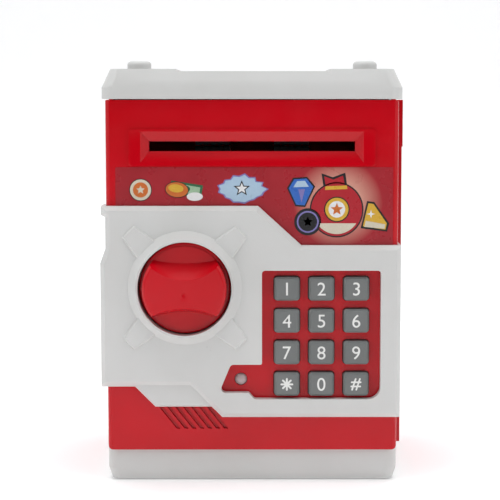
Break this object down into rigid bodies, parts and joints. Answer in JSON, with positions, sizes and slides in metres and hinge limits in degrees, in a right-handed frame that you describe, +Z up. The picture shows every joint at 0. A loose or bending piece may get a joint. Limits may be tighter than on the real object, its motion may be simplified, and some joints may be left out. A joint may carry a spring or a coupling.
{
  "type": "toy safe coin bank",
  "caption": "Toy safe that draws notes in through a powered slot, takes coins on top and opens by a keypad door with a turning knob.",
  "frame": {"origin": "on the floor under the middle of the bounding box", "axes": "+Z up, front of the door faces -Y, +X to the right of someone facing the door"},
  "size_m": [0.14, 0.125, 0.19],
  "materials": {
    "red_shell": "glossy moulded",
    "white_shell": "satin moulded",
    "grey_keys": "satin moulded",
    "decal": "printed film",
    "steel": "plated",
    "roller_rubber": "matt",
    "mat_rubber": "matt",
    "circuit_board": "solder mask",
    "lamp": "translucent",
    "inner_plastic": "moulded",
    "gear_plastic": "natural nylon",
    "brass_pinion": "turned",
    "plated_metal": "plated",
    "speaker_parts": "paper and steel",
    "cell_wrap": "printed sleeve"
  },
  "bodies": {
    "body": {"body_shell": "red_shell", "top_cap": "white_shell", "coin_chute": "red_shell", "base": "white_shell", "bottom_plate": "white_shell", "base_screws": "steel", "hinge_pins": "steel", "latch_strike": "steel"},
    "door": {"door_front": "red_shell", "door_inner_cover": "red_shell", "cover_screws": "steel", "overlay_panel": "white_shell", "front_decal": "decal", "keypad_mat": "mat_rubber", "keypad_board": "circuit_board", "indicator_lamp": "lamp", "main_board": "circuit_board", "speaker": "speaker_parts", "solenoid": "plated_metal", "roller_frame": "inner_plastic", "reduction_axle": "steel", "motor": "plated_metal", "battery_tray": "inner_plastic", "cells": "cell_wrap", "battery_contacts": "steel", "battery_cover": "red_shell", "battery_cover_screw": "steel"},
    "knob": {"knob": "red_shell", "knob_shaft": "steel", "lock_cam": "gear_plastic", "latch_arm": "gear_plastic", "knob_screw": "steel"},
    "solenoid_bolt": {"solenoid_bolt": "steel"},
    "drive_roller": {"drive_shaft": "steel", "drive_rollers": "roller_rubber", "drive_gear": "gear_plastic"},
    "idler_roller": {"idler_shaft": "steel", "idler_rollers": "roller_rubber"},
    "reduction": {"reduction_gear": "gear_plastic"},
    "motor_rotor": {"motor_shaft": "steel", "motor_pinion": "brass_pinion"},
    "key_1": {"key_1": "grey_keys"},
    "key_2": {"key_2": "grey_keys"},
    "key_3": {"key_3": "grey_keys"},
    "key_4": {"key_4": "grey_keys"},
    "key_5": {"key_5": "grey_keys"},
    "key_6": {"key_6": "grey_keys"},
    "key_7": {"key_7": "grey_keys"},
    "key_8": {"key_8": "grey_keys"},
    "key_9": {"key_9": "grey_keys"},
    "key_star": {"key_star": "grey_keys"},
    "key_0": {"key_0": "grey_keys"},
    "key_hash": {"key_hash": "grey_keys"}
  },
  "joints": [
    {"name": "door_hinge", "type": "hinge", "parent": "body", "child": "door", "pos_m": [0.0623, -0.0252, 0.09], "axis": [0, 0, 1], "range_deg": [0, 100]},
    {"name": "knob_turn", "type": "hinge", "parent": "door", "child": "knob", "pos_m": [-0.03, -0.05, 0.089], "axis": [0, 1, 0], "range_deg": [0, 90]},
    {"name": "bolt_slide", "type": "slide", "parent": "door", "child": "solenoid_bolt", "axis": [0, 0, -1], "range_m": [0, 0.004], "stiffness_N_per_m": 60, "springref_m": -0.002},
    {"name": "drive_spin", "type": "hinge", "parent": "door", "child": "drive_roller", "pos_m": [0, -0.036, 0.1468], "axis": [1, 0, 0], "continuous": true},
    {"name": "idler_spin", "type": "hinge", "parent": "door", "child": "idler_roller", "pos_m": [0, -0.036, 0.1572], "axis": [1, 0, 0], "continuous": true},
    {"name": "reduction_spin", "type": "hinge", "parent": "door", "child": "reduction", "pos_m": [0.0545, -0.036, 0.1348], "axis": [1, 0, 0], "continuous": true},
    {"name": "motor_spin", "type": "hinge", "parent": "door", "child": "motor_rotor", "pos_m": [0.0545, -0.036, 0.1228], "axis": [1, 0, 0], "continuous": true},
    {"name": "press_1", "type": "slide", "parent": "door", "child": "key_1", "axis": [0, 1, 0], "range_m": [0, 0.0012], "stiffness_N_per_m": 250, "springref_m": -0.0008},
    {"name": "press_2", "type": "slide", "parent": "door", "child": "key_2", "axis": [0, 1, 0], "range_m": [0, 0.0012], "stiffness_N_per_m": 250, "springref_m": -0.0008},
    {"name": "press_3", "type": "slide", "parent": "door", "child": "key_3", "axis": [0, 1, 0], "range_m": [0, 0.0012], "stiffness_N_per_m": 250, "springref_m": -0.0008},
    {"name": "press_4", "type": "slide", "parent": "door", "child": "key_4", "axis": [0, 1, 0], "range_m": [0, 0.0012], "stiffness_N_per_m": 250, "springref_m": -0.0008},
    {"name": "press_5", "type": "slide", "parent": "door", "child": "key_5", "axis": [0, 1, 0], "range_m": [0, 0.0012], "stiffness_N_per_m": 250, "springref_m": -0.0008},
    {"name": "press_6", "type": "slide", "parent": "door", "child": "key_6", "axis": [0, 1, 0], "range_m": [0, 0.0012], "stiffness_N_per_m": 250, "springref_m": -0.0008},
    {"name": "press_7", "type": "slide", "parent": "door", "child": "key_7", "axis": [0, 1, 0], "range_m": [0, 0.0012], "stiffness_N_per_m": 250, "springref_m": -0.0008},
    {"name": "press_8", "type": "slide", "parent": "door", "child": "key_8", "axis": [0, 1, 0], "range_m": [0, 0.0012], "stiffness_N_per_m": 250, "springref_m": -0.0008},
    {"name": "press_9", "type": "slide", "parent": "door", "child": "key_9", "axis": [0, 1, 0], "range_m": [0, 0.0012], "stiffness_N_per_m": 250, "springref_m": -0.0008},
    {"name": "press_star", "type": "slide", "parent": "door", "child": "key_star", "axis": [0, 1, 0], "range_m": [0, 0.0012], "stiffness_N_per_m": 250, "springref_m": -0.0008},
    {"name": "press_0", "type": "slide", "parent": "door", "child": "key_0", "axis": [0, 1, 0], "range_m": [0, 0.0012], "stiffness_N_per_m": 250, "springref_m": -0.0008},
    {"name": "press_hash", "type": "slide", "parent": "door", "child": "key_hash", "axis": [0, 1, 0], "range_m": [0, 0.0012], "stiffness_N_per_m": 250, "springref_m": -0.0008}
  ],
  "couplings": [
    {"joint": "reduction_spin", "follows": "motor_spin", "ratio": -0.33333},
    {"joint": "drive_spin", "follows": "motor_spin", "ratio": 0.11111},
    {"joint": "idler_spin", "follows": "motor_spin", "ratio": -0.11111}
  ]
}
